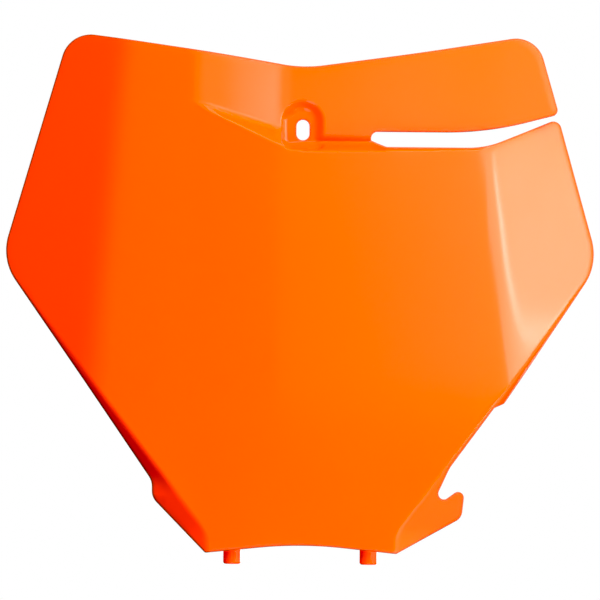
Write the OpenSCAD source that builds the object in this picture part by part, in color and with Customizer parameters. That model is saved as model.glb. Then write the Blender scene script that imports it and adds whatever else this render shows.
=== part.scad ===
// Front number plate for an off-road motorbike, moulded in one piece.
// X runs to the viewer's right, Y to the rear and Z up.
// The origin lies in the middle of the bolt slot, on the rear face that seats against the bike.
// A depth is measured backwards from the middle of the front face.

/* [Outline] */
// Width across the wing corners, before they are rounded
wing_span = 292.4; // [270:0.2:310]
// Drop from the bolt to the wing corners
wing_drop = 64; // [50:1:75]
// Width across the two top corners, before they are rounded
top_span = 227.6; // [210:0.2:240]
// Height of the top corners above the bolt
top_rise = 47.3; // [42:0.1:55]
// Height of the dip in the middle of the top edge above the bolt
dip_rise = 30.2; // [26:0.2:36]
// How far the top edge bows, down on the right and up on the left
top_bow = 0.6; // [0.2:0.1:1.2]
// Width of the bottom edge
foot_span = 93; // [84:0.2:100]
// Drop from the bolt to the bottom corners
foot_drop = 206; // [200:0.2:215]
// Height of the arch in the bottom edge
foot_arch = 4.8; // [2:0.2:7]
// Radius of the top corners
top_corner_r = 14; // [6:1:20]
// Radius of the wing corners
wing_corner_r = 26; // [12:1:32]

/* [Sheet] */
// Thickness of the moulded sheet
wall = 2.4; // [1.8:0.1:3]
// Radius of the slight crown across the front face
crown_r = 1150; // [800:50:3000]
// Angle by which each wing is swept back
wing_angle = 31; // [20:1:38]
// Distance from the centre line to the wing crease, level with the bolt
crease_x = 91.3; // [86:0.1:100]
// How far the crease moves outward per millimetre of drop
crease_flare = 0.094; // [0:0.002:0.11]
// Width over which the crease bends, at the top edge
crease_w = 17; // [10:1:24]
// Width over which the crease bends, at the bottom edge
crease_low_w = 22; // [14:1:36]

/* [Side lips] */
// Drop from the bolt to where the lips begin
lip_start = 84; // [76:1:92]
// Angle by which the lips turn back, above the jog
lip_angle = 62; // [50:1:68]
// Angle by which the flared lips turn back, below the jog
flare_angle = 42; // [34:1:50]
// Drop from the bolt to the top of the jog
jog_drop = 171.4; // [166:0.2:176]
// Length of the jog
jog_h = 8; // [6.5:0.1:10]
// Width over which the lip fold bends
fold_w = 5; // [3:0.5:6]

/* [Upper recess] */
// Depth of the recess beside the bolt pocket
recess_d = 10; // [7:0.5:12]
// Width of the slope that leads into the recess from the left
slope_w = 43; // [36:1:50]
// Distance from the centre line to the inner end of that slope
slope_x = 9.5; // [8:0.5:12]
// Angle by which the right-hand flap is swept back
flap_angle = 2.5; // [1:0.5:5]
// Drop from the bolt to the lower edge of the recess
recess_drop = 9.9; // [9:0.1:12]
// Angle of the slanting edge of the recess, from the horizontal
recess_edge_angle = 24.2; // [20:0.2:28]
// Wall angle below the slope
slope_wall_angle = 53; // [45:1:60]
// Wall angle above the front face, right of the bolt
step_wall_angle = 72; // [65:1:76]

/* [Bolt slot] */
// Width of the slot for the bolt
slot_w = 6.4; // [5.4:0.1:7]
// Length of the slot from end to end
slot_l = 10; // [8.5:0.1:12]
// Radius of the pocket round the bolt head
pocket_r = 10.9; // [9.5:0.1:11.5]
// Height of the pocket arch's centre above the bolt
pocket_rise = 4; // [2:0.5:6]
// Depth of the pocket below the recess
pocket_d = 3.5; // [3.3:0.1:5]
// How far the pocket wall slopes inward
pocket_draft = 3.2; // [1:0.1:3.4]

/* [Hose slit] */
// Distance from the centre line to the closed end of the slit
slit_x = 33.2; // [30:0.2:38]
// Height of the slit
slit_h = 7.4; // [7:0.2:9]
// Drop from the bolt to the upper edge of the slit
slit_drop = 0.6; // [0.2:0.1:1]
// Opening of the slit at its mouth
slit_mouth = 1.8; // [1.5:0.1:4]
// Rise of the slit's upper edge at its mouth
slit_rise = 8.6; // [7:0.2:12]
// Radius of the closed end
slit_end_r = 3.1; // [2:0.1:3.2]
// Depth of the channel from the pocket to the slit, below the recess
channel_d = 3; // [1.5:0.5:3]

/* [Hose hook] */
// Distance from the centre line to the tip of the hook
hook_x = 80.6; // [76:0.2:84]
// Drop from the bolt to the tip of the hook, before it is rounded
hook_drop = 172.6; // [169:0.2:175]
// Height of the outer side of the hook
hook_h = 16; // [13:0.2:18]
// Radius at the bottom of the notch beside the hook
notch_r = 3; // [2:0.1:3.2]
// Drop from the bolt to the step at the end of the upper right lip
step_drop = 132.6; // [124:0.2:136]

/* [Pegs] */
// Diameter of the two locating pegs
peg_d = 8.5; // [7:0.1:9.5]
// Distance between the peg axes
peg_span = 66.4; // [58:0.2:70]
// Length of the pegs below their shoulders
peg_l = 8; // [7:0.5:10]
// Drop from the bolt to the end of the pegs
peg_drop = 211.4; // [208.4:0.2:218]
// Depth of the peg axes behind the front face
peg_depth = 8.2; // [8:0.1:9.5]
// Length of the boss that carries each peg
boss_l = 22; // [16:1:30]
// How much shorter the boss is at its rear
boss_slope = 12; // [6:1:14]

/* [Hidden] */
$fn = 48;

// Half widths and levels
wing_x = wing_span / 2;
wing_z = -wing_drop;
top_x = top_span / 2;
foot_x = foot_span / 2;
foot_z = -foot_drop;
jog_z = -jog_drop;
jog_low_z = jog_z - jog_h;
step_z = -step_drop;
hook_z = -hook_drop;
recess_z = -recess_drop;
slit_top_z = -slit_drop;
slit_low_z = slit_top_z - slit_h;

// Depths
pocket_floor = recess_d + pocket_d;
channel_floor = recess_d + channel_d;
seat_depth = pocket_floor + wall;
steep_h = 14;
deep = 70;
beyond = 20;
huge = 700;

// A ramp of slope 1 that starts smoothly over the width -w to w
function ramp(e, w) = e <= -w ? 0 : e >= w ? e : pow(e + w, 2) / (4 * w);

// The outer edge is straight from the wing corner to the jog
jog_x = foot_x + (jog_low_z - foot_z) * 0.97;
edge_slope = (wing_x - jog_x) / (wing_z - jog_z);
side_slope = (wing_x - top_x) / (top_rise - wing_z);
function edge_x(z) = wing_x - (wing_z - z) * edge_slope;
function side_x(z) = top_x + (top_rise - z) * side_slope;

// The lips turn back at a straight line, which ends just above the foot
fold_low_x = foot_x - 0.3;
fold_low_z = foot_z + 9.6;
fold_slope = (edge_x(-lip_start) - fold_low_x) / (-lip_start - fold_low_z);
fold_cos = cos(atan(fold_slope));
fold_blend = 6;
function fold_x(z) = min(wing_x + 7, fold_low_x + ramp(z - fold_low_z, fold_blend) * fold_slope);

// Rows of the sheet from the bottom up, closer together where the lips change
function span(from, to, n) = [for (i = [0 : n - 1]) from + (to - from) * i / n];
rows = concat([foot_z - 16],
              span(foot_z, fold_low_z + fold_blend, 4),
              span(fold_low_z + fold_blend, jog_low_z, 2),
              span(jog_low_z, hook_z + steep_h, 6),
              span(hook_z + steep_h, wing_z, 9),
              span(wing_z, top_rise + 14, 3),
              [top_rise + 14]);
crown_n = 5;
bend_n = 8;
fold_n = 6;

// Crease line, half the width over which it bends, and slope of the lips
function crease(z) = crease_x - z * crease_flare;
function bend_half(z) = lookup(z, [[foot_z, crease_low_w / 2], [top_rise, crease_w / 2]]);
function ease(t) = t * t * (3 - 2 * t);
function steepness(z, side) = ease(lookup(z, side < 0 ? [[jog_low_z, 0], [jog_z + 5, 1]] :
                                                        [[hook_z, 0], [hook_z + steep_h, 1]]));
function lip_slope(z, side) = let (
        flare = tan(flare_angle),
        steep = tan(lip_angle))
    fold_cos * (flare + (steep - flare) * steepness(z, side));

// Depth at u from the centre line: crowned face, swept wings, then the lips as well
function crown(u, c) = u < c ? u * u / (2 * crown_r) : c * (2 * u - c) / (2 * crown_r);
function face(u, z) = crown(u, crease(z)) + tan(wing_angle) * ramp(u - crease(z), bend_half(z));
function depth(u, z, side) = face(u, z) + lip_slope(z, side) * ramp(u - fold_x(z), fold_w / 2);

// How far the lips reach behind the face; the hook stands out further on the right
function out_x(z, side) = lookup(z, side < 0 ?
    [[foot_z, foot_x], [jog_low_z, jog_x], [jog_z, jog_x], [wing_z, wing_x]] :
    [[foot_z, foot_x], [hook_z - hook_h, hook_x], [hook_z + 2, hook_x], [hook_z + 12, edge_x(hook_z + 12)],
     [wing_z, wing_x]]);
function lip_reach(z, side) = max(2 * wall, lip_slope(z, side) * (1 + fold_w / 2),
                                  lip_slope(z, side) * (out_x(z, side) - fold_x(z)) + wall);

// Distances from the centre line at which one half of a row has its points
function stations(z, u_end) = let (
        f = fold_x(z) - fold_w / 2,
        b = bend_half(z),
        c = min(crease(z) - b, f - 16),
        e = min(crease(z) + b, f - 4))
    concat([for (i = [0 : crown_n - 1]) c * i / crown_n],
           [for (i = [0 : bend_n]) c + (e - c) * i / bend_n],
           [for (i = [0 : fold_n]) f + fold_w * i / fold_n],
           [u_end]);

// Point of the front surface, moved in by t within its own row
function slope_u(u, z, side) = u == 0 ? 0 : (depth(u + 0.1, z, side) - depth(u - 0.1, z, side)) / 0.2;
function slope_z(u, z, side) = (depth(u, z + 0.1, side) - depth(u, z - 0.1, side)) / 0.2;
function point(u, z, side, t) = let (
        g = [-side * slope_u(u, z, side), 1, -slope_z(u, z, side)],
        in_row = [g.x, g.y, 0])
    [side * u, depth(u, z, side), z] + in_row * t * norm(g) / (in_row * in_row);

// Front of one row from left to right, moved in by t
function front_row(z, t, left, right) = let (
        l = stations(z, left),
        r = stations(z, right))
    concat([for (i = [len(l) - 1 : -1 : 1]) point(l[i], z, -1, t)], [for (u = r) point(u, z, 1, t)]);

// Closed loop round all that may be solid, and round all that is hollow behind the sheet
function solid_loop(z) = let (
        hl = lip_reach(z, -1),
        hr = lip_reach(z, 1),
        l = fold_x(z) + hl / lip_slope(z, -1),
        r = fold_x(z) + hr / lip_slope(z, 1),
        w = 9)
    concat(front_row(z, 0, l, r),
           [[r - w, face(r - w, z) + hr, z], [r - w, deep, z]],
           [[w - l, deep, z], [w - l, face(l - w, z) + hl, z]]);
function hollow_loop(z) = let (
        l = fold_x(z) + (lip_reach(z, -1) + 3 * wall) / lip_slope(z, -1),
        r = fold_x(z) + (lip_reach(z, 1) + 3 * wall) / lip_slope(z, 1))
    concat(front_row(z, wall, l, r), [[r, deep + beyond, z], [-l, deep + beyond, z]]);

// Solid between loops that have the same number of points
module loft(loops) {
    n = len(loops[0]);
    last = (len(loops) - 1) * n;
    sides = [for (k = [0 : n : last - n], i = [0 : n - 1]) let (a = k + i, b = k + (i + 1) % n)
        each [[a, a + n, b + n], [a, b + n, b]]];
    low = [for (i = [0 : n - 1]) i];
    high = [for (i = [n - 1 : -1 : 0]) last + i];
    polyhedron([for (loop = loops) each loop], concat(sides, [low, high]), convexity = 6);
}

// Corners of the outline as x, z and radius, clockwise from the dip in the top edge
slit_bevel = 3.2;
mouth_x = side_x(slit_rise);
slit_bend_x = mouth_x - 35.5;
slit_low_bend_x = mouth_x - 36;
bow_right = 57;
bow_left = 40;
function top_z(u) = dip_rise + (top_rise - dip_rise) * u / top_x;
corners = [
    [0, dip_rise, 65],
    [bow_right, top_z(bow_right) - top_bow, 1500],
    [top_x, top_rise, top_corner_r],
    [mouth_x, slit_rise, 3.1],
    [slit_bend_x, slit_top_z, 160],
    [slit_x, slit_top_z, slit_end_r],
    [slit_x, slit_low_z + slit_bevel, 0.7],
    [slit_x + 7.5, slit_low_z, 2],
    [slit_low_bend_x, slit_low_z, 45],
    [side_x(slit_rise - slit_mouth), slit_rise - slit_mouth, 4.2],
    [wing_x, wing_z, wing_corner_r],
    [edge_x(step_z), step_z, 2],
    [edge_x(step_z) - 5, step_z - 2, 1.5],
    [hook_x - 8.2, hook_z + 8.6, 20],
    [hook_x - 17.9, hook_z - 12.7, notch_r],
    [hook_x, hook_z, 3],
    [hook_x - 1.3, hook_z - hook_h, 5.7],
    [foot_x, foot_z, 1.6],
    [0, foot_z + foot_arch, 200],
    [-foot_x, foot_z, 1.6],
    [-jog_x, jog_low_z, 8],
    [-jog_x, jog_z, 9],
    [-wing_x, wing_z, wing_corner_r],
    [-top_x, top_rise, top_corner_r],
    [-bow_left, top_z(bow_left) + top_bow, 1500]];

// Points of the arc that rounds corner i
function plan(i) = let (q = corners[i % len(corners)]) [q.x, q.y];
function turn(v, a) = [v.x * cos(a) - v.y * sin(a), v.x * sin(a) + v.y * cos(a)];
function arc(i) = let (
        q = plan(i),
        a = plan(i + len(corners) - 1) - q,
        b = plan(i + 1) - q,
        ua = a / norm(a),
        ub = b / norm(b),
        r = corners[i].z,
        half = acos(ua * ub) / 2,
        centre = q + r * (ua + ub) / (norm(ua + ub) * sin(half)),
        start = q + ua * r / tan(half) - centre,
        sweep = (cross(ua, ub) > 0 ? -1 : 1) * (180 - 2 * half),
        n = ceil(abs(sweep) / (r < 4 ? 20 : 8)))
    [for (k = [0 : n]) centre + turn(start, sweep * k / n)];

// Plan shape turned upright, from one depth to another
module upright(from, to) {
    translate([0, to, 0])
    rotate([90, 0, 0])
    linear_extrude(to - from)
    children();
}

// All behind the flap, bounded below by a line inside the slit
module flap_block(to) {
    start_x = slit_x + 12;
    middle = slit_top_z - slit_h / 2;
    rise = (slit_rise - slit_mouth / 2 - middle) / (mouth_x - slit_bend_x);
    end_x = mouth_x + beyond;
    top = top_rise + beyond;
    upright(-beyond, to)
    polygon([[start_x, middle], [slit_bend_x, middle], [end_x, middle + (end_x - slit_bend_x) * rise],
             [end_x, top], [start_x, top]]);
}

// Walls of the recess as point and normal: two floors, the rounded lower edge, and the rise along the slit
slope_start = crown(slope_x + slope_w, crease_x);
slope_angle = atan((recess_d - slope_start) / slope_w);
edge_round = 42;
edge_n = 4;
vertex = [-5, recess_z];
edge_centre = vertex + edge_round * [tan(recess_edge_angle / 2), 1];
fade_x = slit_low_bend_x - 7;
fade_angle = atan((slit_rise - slit_mouth / 2 - recess_z) / (mouth_x - fade_x));
floor_planes = [for (a = [slope_angle, flap_angle]) [[-slope_x, recess_d, 0], [-sin(a), cos(a), 0]]];
edge_planes = [for (i = [0 : edge_n]) let (
        a = recess_edge_angle * (1 - i / edge_n),
        w = slope_wall_angle + (step_wall_angle - slope_wall_angle) * i / edge_n,
        m = [-sin(a), -cos(a)],
        p = edge_centre + edge_round * m)
    [[p.x, 0, p.y], [m.x * sin(w), cos(w), m.y * sin(w)]]];
fade_plane = [[fade_x, 0, recess_z], [sin(fade_angle), 0, -cos(fade_angle)]];

// Half space that ends at distance grow beyond a plane
module half_space(plane, grow) {
    n = plane[1];
    translate(plane[0])
    rotate([0, acos(n.z), atan2(n.y, n.x)])
    translate([-huge / 2, -huge / 2, grow - huge])
    cube(huge);
}

// Recess that is open to the front and the top
module tray(grow) {
    intersection_for (plane = concat(floor_planes, edge_planes, [fade_plane]))
        half_space(plane, grow);
}

// Half section of the bolt pocket, with its walls and floor moved out by grow
pocket_low_z = recess_z + 0.5;
function pocket_half(grow) = let (taper = atan(pocket_draft / pocket_d))
    [[0, -beyond],
     [pocket_r + grow, -beyond],
     [pocket_r + grow, recess_d + grow * tan(taper / 2)],
     [pocket_r - pocket_draft + grow * tan(45 - taper / 2), pocket_floor + grow],
     [0, pocket_floor + grow]];

// Arched pocket round the bolt head
module pocket(grow) {
    translate([0, 0, pocket_rise])
    rotate([-90, 0, 0])
    rotate_extrude()
    polygon(pocket_half(grow));

    for (side = [0, 1])
        mirror([side, 0, 0])
        translate([0, 0, pocket_low_z - grow])
        linear_extrude(pocket_rise - pocket_low_z + grow)
        polygon(pocket_half(grow));
}

// Channel along the foot of the step, from the pocket to the slit
module channel(grow) {
    low = recess_z + channel_floor / tan(step_wall_angle);
    high = low + 3.5;
    rotate([90, 0, 90])
    linear_extrude(slit_x + 6)
    offset(delta = grow)
    polygon([[0, recess_z], [channel_floor, low], [channel_floor, high - 1.4], [recess_d, high], [0, high]]);
}

module recess(grow) {
    tray(grow);
    pocket(grow);
    channel(grow);
}

module bolt_slot() {
    straight = slot_l - slot_w;
    for (end = [-1, 1])
        translate([0, 0, end * straight / 2])
        rotate([-90, 0, 0])
        cylinder(d = slot_w, h = deep);
    translate([-slot_w / 2, 0, -straight / 2])
    cube([slot_w, deep, straight]);
}

// Moulded sheet of even thickness, with its recess and its lips
module sheet() {
    difference() {
        intersection() {
            upright(-beyond, deep) polygon([for (i = [0 : len(corners) - 1]) each arc(i)]);
            union() {
                loft([for (z = rows) solid_loop(z)]);
                flap_block(deep - 1);
            }
        }
        recess(0);
        difference() {
            union() {
                loft([for (z = rows) hollow_loop(z)]);
                flap_block(deep + beyond / 2);
            }
            recess(wall);
        }
        bolt_slot();
    }
}

// Locating peg with a rounded end, under a boss that leans on the back of the sheet
module peg() {
    r = peg_d / 2;
    tip_r = 1.2;
    tip = [for (a = [0 : 22.5 : 90]) [r - tip_r + tip_r * sin(a), tip_r - tip_r * cos(a)]];
    translate([0, peg_depth, -peg_drop])
    rotate_extrude()
    polygon(concat([[0, 0]], tip, [[r, peg_l + 1], [0, peg_l + 1]]));

    boss_r = r + 1.9;
    boss_rear = peg_depth + boss_r + 1;
    translate([0, 0, peg_l - peg_drop])
    intersection() {
        translate([0, peg_depth, 0])
        cylinder(r = boss_r, h = boss_l);
        rotate([90, 0, 90])
        linear_extrude(boss_r * 4, center = true)
        polygon([[0, 0], [boss_rear, 0], [boss_rear, boss_l - boss_slope], [0, boss_l]]);
    }
}

module number_plate() {
    color([1, 0.35, 0.02])
    translate([0, -seat_depth, 0]) {
        sheet();
        for (side = [-1, 1])
            translate([side * peg_span / 2, 0, 0])
            peg();
    }
}

number_plate();
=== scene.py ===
"""Looks of a moulded front number plate for an off-road motorbike.

The plate is one sheet of glossy orange plastic. Its front and back are worked out as whole numpy arrays
from one formula, and two pegs stand out of bosses at its foot. Sizes are in millimetres, and meshes in
metres.
X runs to the viewer's right, Y to the rear and Z up. The origin is in the bolt slot on the rear seat.
"""

import logging
import math
from collections.abc import Callable
from dataclasses import dataclass, field
from enum import Enum

import bpy
import numpy as np
from mathutils import Euler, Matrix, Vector
from mathutils.geometry import delaunay_2d_cdt


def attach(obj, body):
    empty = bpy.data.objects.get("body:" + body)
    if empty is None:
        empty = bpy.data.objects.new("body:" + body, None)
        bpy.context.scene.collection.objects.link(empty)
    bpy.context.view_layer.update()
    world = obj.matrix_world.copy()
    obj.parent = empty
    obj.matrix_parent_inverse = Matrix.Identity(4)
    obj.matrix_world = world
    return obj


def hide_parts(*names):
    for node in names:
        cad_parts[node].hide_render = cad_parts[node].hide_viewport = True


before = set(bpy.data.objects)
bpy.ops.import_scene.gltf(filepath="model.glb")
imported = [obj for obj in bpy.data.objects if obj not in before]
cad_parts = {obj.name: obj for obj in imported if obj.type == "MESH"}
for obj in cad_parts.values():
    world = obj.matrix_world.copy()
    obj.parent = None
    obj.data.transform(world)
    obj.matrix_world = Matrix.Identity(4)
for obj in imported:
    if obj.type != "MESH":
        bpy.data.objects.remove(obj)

LOG = logging.getLogger("number_plate")
METRE = 0.001
FAR = 900.0
Curve = tuple[tuple[float, float], ...]
Linker = Callable[..., bpy.types.NodeLink]
NODE = "number_plate"
Array = np.ndarray


class Side(Enum):
    """The two sides of the plate, as the sign of X."""

    LEFT = -1
    RIGHT = 1


# Blends


def smooth_max(a: Array, b: Array, width: float) -> Array:
    """Greater of two fields, rounded where they come within a width of each other.

    The greater value plus a quarter of the width times the square of how far the fields overlap.

    Args:
        a: First field.
        b: Second field.
        width: Difference below which the fields blend.

    Returns:
        The blended field.
    """
    near = np.maximum(width - np.abs(a - b), 0.0) / width
    return np.maximum(a, b) + near * near * width / 4.0


def smooth_min(a: Array, b: Array, width: float) -> Array:
    """Lesser of two fields, rounded where they come within a width of each other, like smooth_max."""
    return -smooth_max(-a, -b, width)


def round_max(a: Array, b: Array, radius: Array | float) -> Array:
    """Greater of two distances, with a true quarter circle of the given radius at their corner.

    Args:
        a: First signed distance, negative inside.
        b: Second signed distance, negative inside.
        radius: Radius of the corner.

    Returns:
        Signed distance to the rounded body.
    """
    corner = np.hypot(np.maximum(a + radius, 0.0), np.maximum(b + radius, 0.0))
    return np.minimum(np.maximum(a, b), -radius) + corner


def soft_ramp(e: Array, half: Array | float) -> Array:
    """Ramp of slope 1 whose slope follows a smooth step from -half to half.

    With t from 0 to 1 over that width, the ramp is half times (2 t cubed minus t to the fourth).

    Args:
        e: Distance past the middle of the bend.
        half: Half the width of the bend.

    Returns:
        The ramp's height.
    """
    t = np.clip((e + half) / (2.0 * half), 0.0, 1.0)
    return half * (2.0 * t**3 - t**4) + np.maximum(e - half, 0.0)


def smooth_step(t: Array) -> Array:
    """Step from 0 to 1 with level ends: 3 t squared minus 2 t cubed, with t held from 0 to 1."""
    t = np.clip(t, 0.0, 1.0)
    return t * t * (3.0 - 2.0 * t)


# Outline


@dataclass
class Outline:
    """Plan of the plate, seen from the front, as rounded corners joined by straight lines."""

    wing_x: float = 146.2
    wing_z: float = -64.0
    top_x: float = 113.8
    top_z: float = 47.3
    dip_z: float = 30.2
    bow: float = 0.6
    foot_x: float = 46.5
    foot_z: float = -206.0
    foot_arch: float = 4.8
    jog_z: float = -171.4
    jog_low_z: float = -179.4
    step_z: float = -132.6
    hook_x: float = 80.6
    hook_z: float = -172.6
    hook_h: float = 16.0
    slit_x: float = 33.2
    slit_top_z: float = -0.6
    slit_low_z: float = -8.0
    slit_rise: float = 8.6
    slit_mouth: float = 1.8
    slit_flare_l: float = 35.5
    slot_r: float = 3.2
    slot_half: float = 1.8
    step: float = 1.1
    jog_x: float = field(init=False)
    edge_slope: float = field(init=False)
    side_slope: float = field(init=False)

    def __post_init__(self) -> None:
        """Works out the slopes of the two straight outer edges."""
        self.jog_x = self.foot_x + (self.jog_low_z - self.foot_z) * 0.97
        self.edge_slope = (self.wing_x - self.jog_x) / (self.wing_z - self.jog_z)
        self.side_slope = (self.wing_x - self.top_x) / (self.top_z - self.wing_z)

    def edge_x(self, z: Array | float) -> Array | float:
        """Distance of the lower outer edge from the centre line at height z."""
        return self.wing_x - (self.wing_z - z) * self.edge_slope

    def side_x(self, z: float) -> float:
        """Distance of the upper outer edge from the centre line at height z."""
        return self.top_x + (self.top_z - z) * self.side_slope

    @property
    def mouth_x(self) -> float:
        """Distance of the slit's mouth from the centre line."""
        return self.side_x(self.slit_rise)

    def corners(self) -> Array:
        """Lists the corners, clockwise from the dip in the top edge.

        Returns:
            Rows of x, z and radius.
        """
        mouth, low = self.mouth_x, self.slit_rise - self.slit_mouth
        rise = (self.top_z - self.dip_z) / self.top_x
        step_x = self.edge_x(self.step_z)
        return np.array(
            [
                (0.0, self.dip_z, 65.0),
                (57.0, self.dip_z + 57.0 * rise - self.bow, 1500.0),
                (self.top_x, self.top_z, 14.0),
                (mouth, self.slit_rise, 3.1),
                (mouth - self.slit_flare_l, self.slit_top_z, 160.0),
                (self.slit_x, self.slit_top_z, 3.1),
                (self.slit_x, self.slit_low_z + 3.2, 0.7),
                (self.slit_x + 7.5, self.slit_low_z, 2.0),
                (mouth - self.slit_flare_l - 0.5, self.slit_low_z, 45.0),
                (self.side_x(low), low, 4.2),
                (self.wing_x, self.wing_z, 26.0),
                (step_x, self.step_z, 2.0),
                (step_x - 5.0, self.step_z - 2.0, 1.5),
                (self.hook_x - 8.2, self.hook_z + 8.6, 20.0),
                (self.hook_x - 17.9, self.hook_z - 12.7, 3.0),
                (self.hook_x, self.hook_z, 3.0),
                (self.hook_x - 1.3, self.hook_z - self.hook_h, 5.7),
                (self.foot_x, self.foot_z, 1.6),
                (0.0, self.foot_z + self.foot_arch, 200.0),
                (-self.foot_x, self.foot_z, 1.6),
                (-self.jog_x, self.jog_low_z, 8.0),
                (-self.jog_x, self.jog_z, 9.0),
                (-self.wing_x, self.wing_z, 26.0),
                (-self.top_x, self.top_z, 14.0),
                (-40.0, self.dip_z + 40.0 * rise + self.bow, 1500.0),
            ]
        )

    def loop(self) -> tuple[Array, Array]:
        """Samples the outline: an arc at every corner and a straight line to the next one.

        An arc's points are its centre plus the radius turned through even steps of its sweep, and the
        direction into the plate is the way of travel turned a quarter to the right.

        Returns:
            Points and unit vectors into the plate, both as x and z.
        """
        corners = self.corners()
        q, r = corners[:, :2], corners[:, 2]
        back = np.roll(q, 1, axis=0) - q
        ahead = np.roll(q, -1, axis=0) - q
        back /= np.linalg.norm(back, axis=1)[:, None]
        ahead /= np.linalg.norm(ahead, axis=1)[:, None]
        half = np.arccos(np.einsum("ij,ij->i", back, ahead)) / 2.0
        middle = back + ahead
        centre = q + middle * (r / (np.linalg.norm(middle, axis=1) * np.sin(half)))[:, None]
        start = q + back * (r / np.tan(half))[:, None]
        end = q + ahead * (r / np.tan(half))[:, None]
        turn = -np.sign(back[:, 0] * ahead[:, 1] - back[:, 1] * ahead[:, 0])
        sweep = turn * (np.pi - 2.0 * half)
        points, inward = [], []
        for i in range(len(q)):
            count = max(2, math.ceil(abs(sweep[i]) / 0.14), math.ceil(abs(sweep[i]) * r[i] / 1.6))
            angle = sweep[i] * np.arange(count + 1) / count
            spoke = start[i] - centre[i]
            turned_x = spoke[0] * np.cos(angle) - spoke[1] * np.sin(angle)
            turned_z = spoke[0] * np.sin(angle) + spoke[1] * np.cos(angle)
            arm = np.stack([turned_x, turned_z], axis=1)
            points.append(centre[i] + arm)
            inward.append(-arm * -turn[i] / r[i])
            far = start[(i + 1) % len(q)]
            run = far - end[i]
            length = float(np.linalg.norm(run))
            pieces = math.ceil(length / self.step)
            share = (np.arange(1, pieces) / pieces)[:, None]
            points.append(end[i] + run * share)
            inward.append(np.repeat([[run[1] / length, -run[0] / length]], pieces - 1, axis=0))
        return np.concatenate(points), np.concatenate(inward)

    def slot(self) -> tuple[Array, Array]:
        """Samples the bolt slot, two half circles and two short lines.

        Returns:
            Points and unit vectors into the plate, both as x and z.
        """
        angle = np.linspace(0.0, np.pi, 17)
        arc = np.stack([np.cos(angle), np.sin(angle)], axis=1)
        line = np.linspace(self.slot_half, -self.slot_half, 6)[1:-1]
        ones = np.ones_like(line)
        up = np.array([0.0, self.slot_half])
        points = np.concatenate(
            [
                arc * self.slot_r + up,
                np.stack([-self.slot_r * ones, line], axis=1),
                -arc * self.slot_r - up,
                np.stack([self.slot_r * ones, -line], axis=1),
            ]
        )
        left, right = (np.stack([sign * ones, 0 * ones], axis=1) for sign in (-1, 1))
        return points, np.concatenate([arc, left, -arc, right])


# Form of the sheet


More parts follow.
